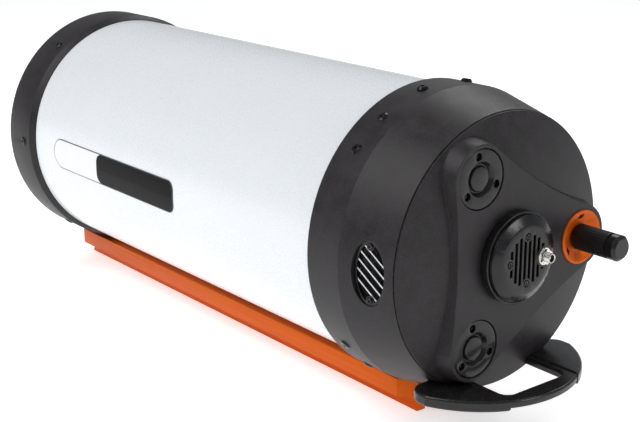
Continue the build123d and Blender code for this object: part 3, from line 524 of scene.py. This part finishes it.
def power_socket():
    """The fan's socket: a threaded barrel with a rounded pin inside."""
    low, high, middle = span("dc_jack")
    floor_y = low.y + 9 * mm
    profile = socket_profile(low.y, floor_y, high.y - 7.8 * mm, high.y, 2.8 * mm)
    shell = spun("power_socket", profile, middle, "bright_nickel", "root")
    tip, pin_radius = low.y + 1.5 * mm, 0.9 * mm
    pin = [(0, tip), (0.5 * mm, tip + 0.1 * mm), (pin_radius, tip + 0.6 * mm), (pin_radius, floor_y)]
    spun("power_pin", pin, middle, "bright_nickel", "root", steps=24)
    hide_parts("dc_jack")


for side in ("left", "right"):
    woven_sheet("vent_mesh_" + side, "root", "mesh_steel", 1.15 * mm, 0.14 * mm, 0.10 * mm)
woven_sheet("fan_filter_mesh", "root", "mesh_steel", 1.6 * mm, 0.2 * mm, 0.18 * mm)
power_socket()
for node, width in (("dovetail_rail", 0.6), ("front_cell", 0.5), ("fan_cover", 0.3), ("focuser_flange", 0.3),
                    ("adapter_collar", 0.3)):
    softened(node, "root", width * mm)
for side in ("upper", "lower"):
    softened("mirror_support_cap_" + side, "root", 0.3 * mm, "black_plastic")


# ---- camera, light and floor -----------------------------------------------------------------
def make_camera():
    """Behind, above and to the left of the telescope."""
    distance = Vector((-5.830, -6.110, 2.611))      # in tube radii
    aim = Vector((0.5994, 0.7479, -0.2853))
    camera = bpy.data.objects.new("camera", bpy.data.cameras.new("camera"))
    camera.data.lens = 70.9
    camera.data.sensor_width = 36.0
    camera.location = axis_point + tube_radius * distance
    camera.rotation_euler = aim.to_track_quat("-Z", "Y").to_euler()
    bpy.context.scene.collection.objects.link(camera)
    bpy.context.scene.camera = camera


def area_light(name, place, target, size, power):
    """A soft box at a place, turned to a target."""
    data = bpy.data.lights.new(name, "AREA")
    data.shape = "RECTANGLE"
    data.size, data.size_y = size
    data.energy = power
    light = bpy.data.objects.new(name, data)
    light.location = place
    light.rotation_euler = (Vector(target) - Vector(place)).to_track_quat("-Z", "Y").to_euler()
    bpy.context.scene.collection.objects.link(light)


def make_studio():
    """Three soft boxes in a pale room; the backdrop is white to the camera and dimmer as a light."""
    area_light("key", (-1.5, 0.3, 1.9), (0, 0.15, axis_z), (1.4, 1.8), 31.0)
    area_light("rear_fill", (0.9, -2.3, 1.5), (0, -0.3, axis_z), (1.0, 0.8), 16.0)
    area_light("far_rim", (1.5, 0.6, 1.9), (0, 0, axis_z), (1.4, 1.0), 16.0)
    room_strength = 0.34
    world = bpy.data.worlds.new("studio")
    world.use_nodes = True
    tree = world.node_tree
    room = tree.nodes["Background"]
    room.inputs["Color"].default_value = rgb(0.95, 0.97, 1.0)
    room.inputs["Strength"].default_value = room_strength
    backdrop = put(tree, "ShaderNodeBackground", {"Color": rgb(1.0, 1.0, 1.0), "Strength": 1.0})
    seen = put(tree, "ShaderNodeLightPath").outputs["Is Camera Ray"]
    mixed = put(tree, "ShaderNodeMixShader", {0: seen, 1: room.outputs[0], 2: backdrop.outputs[0]})
    tree.links.new(mixed.outputs[0], tree.nodes["World Output"].inputs["Surface"])
    bpy.context.scene.world = world
    bpy.context.scene.view_settings.view_transform = "Standard"


def make_floor():
    """A pale table with a little light of its own, as a light table has."""
    own_light = 0.64
    made, tree, shader = new_material("studio_floor")
    patches = noise(tree, place_of(tree), 3.0, 4.0)
    pale = mix_colour(tree, patches, rgb(0.84, 0.84, 0.84), rgb(0.88, 0.88, 0.88))
    tree.links.new(pale, shader.inputs["Base Color"])
    tree.links.new(pale, shader.inputs["Emission Color"])
    shader.inputs["Emission Strength"].default_value = own_light
    shader.inputs["Roughness"].default_value = 0.7
    shader.inputs["Specular IOR Level"].default_value = 0.2
    bm = bmesh.new()
    bmesh.ops.create_grid(bm, x_segments=1, y_segments=1, size=12.0)
    mesh = bpy.data.meshes.new("floor")
    bm.to_mesh(mesh)
    bm.free()
    floor = bpy.data.objects.new("floor", mesh)
    mesh.materials.append(made)
    bpy.context.scene.collection.objects.link(floor)


make_camera()
make_studio()
make_floor()
